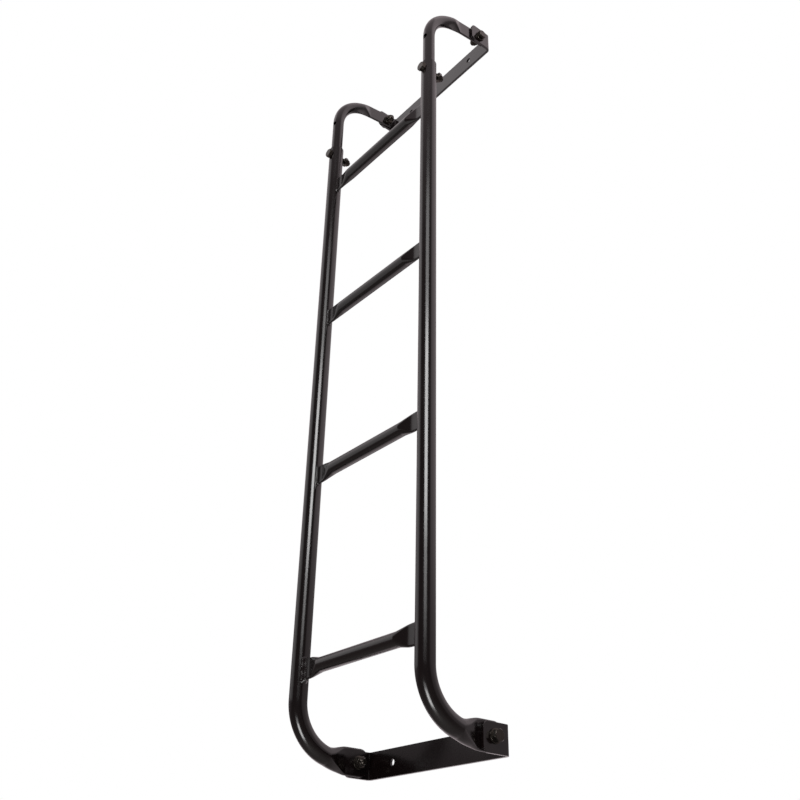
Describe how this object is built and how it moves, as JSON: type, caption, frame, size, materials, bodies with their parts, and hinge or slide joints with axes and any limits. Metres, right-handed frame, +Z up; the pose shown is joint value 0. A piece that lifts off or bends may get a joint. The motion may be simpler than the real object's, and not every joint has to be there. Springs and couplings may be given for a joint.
{
  "type": "van rear door ladder",
  "caption": "Tube ladder for a van's rear door: two bent rails, pressed-end rungs, hook tubes slipped into the rails, and flat-bar brackets top and bottom.",
  "frame": {"origin": "middle of the lower bracket's mounting face, midway between its two mounting holes", "axes": "+Z up along the rails, +Y into the van, X along the rungs"},
  "size_m": [0.3226, 0.1781, 1.395],
  "materials": {
    "powder_coat": "semi-gloss black powder coat on steel",
    "fastener_steel": "dark zinc-plated steel"
  },
  "bodies": {
    "root": {"rail_left": "powder_coat", "rail_right": "powder_coat", "hook_left": "powder_coat", "hook_right": "powder_coat", "rung_1": "powder_coat", "rung_2": "powder_coat", "rung_3": "powder_coat", "rung_4": "powder_coat", "lower_bracket": "powder_coat", "upper_bracket": "powder_coat", "lower_bolt_left": "fastener_steel", "lower_bolt_right": "fastener_steel", "lower_washer_left": "fastener_steel", "lower_washer_right": "fastener_steel", "lower_nut_washer_left": "fastener_steel", "lower_nut_washer_right": "fastener_steel", "lower_nut_left": "fastener_steel", "lower_nut_right": "fastener_steel", "upper_bolt_left": "fastener_steel", "upper_bolt_right": "fastener_steel", "upper_washer_left": "fastener_steel", "upper_washer_right": "fastener_steel", "upper_nut_washer_left": "fastener_steel", "upper_nut_washer_right": "fastener_steel", "upper_nut_left": "fastener_steel", "upper_nut_right": "fastener_steel", "hook_bolt_left": "fastener_steel", "hook_bolt_right": "fastener_steel", "hook_nut_left": "fastener_steel", "hook_nut_right": "fastener_steel"}
  },
  "joints": []
}
